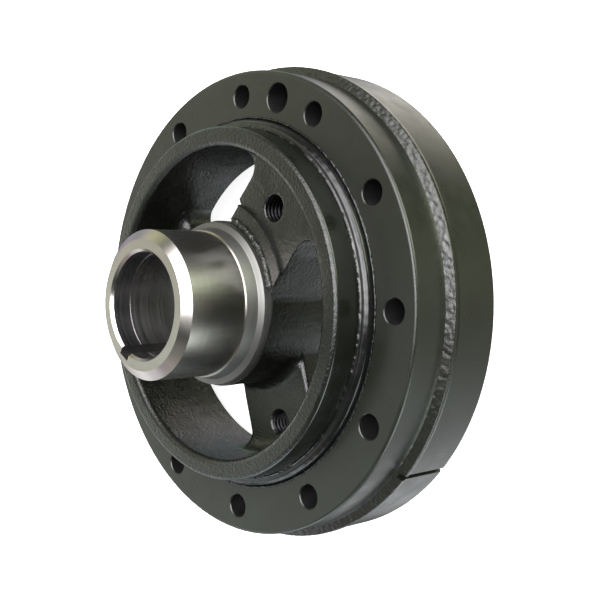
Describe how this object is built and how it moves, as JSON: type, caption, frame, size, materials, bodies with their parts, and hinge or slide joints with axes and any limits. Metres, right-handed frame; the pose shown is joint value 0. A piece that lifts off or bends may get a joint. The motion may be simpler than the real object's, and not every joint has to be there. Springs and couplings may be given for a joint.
{
  "type": "harmonic balancer",
  "caption": "Crankshaft vibration damper: cast hub with bored snout, spokes and counterweight, bonded rubber ring and heavy outer inertia ring.",
  "frame": {"origin": "on the turning axis, at the pulley side of the inertia ring, which is the face that the part rests on", "axes": "+Z along the axis and out of the snout, +X through one of the twelve holes in the ring's face"},
  "size_m": [0.1702, 0.1702, 0.0777],
  "materials": {
    "hub_iron": "black paint over cast iron, with a bright turned snout",
    "bonded_rubber": "painted over with the rest, semi-gloss",
    "ring_iron": "black semi-gloss paint over turned and cast faces"
  },
  "bodies": {
    "root": {"hub": "hub_iron", "rubber_ring": "bonded_rubber", "inertia_ring": "ring_iron"}
  },
  "joints": []
}
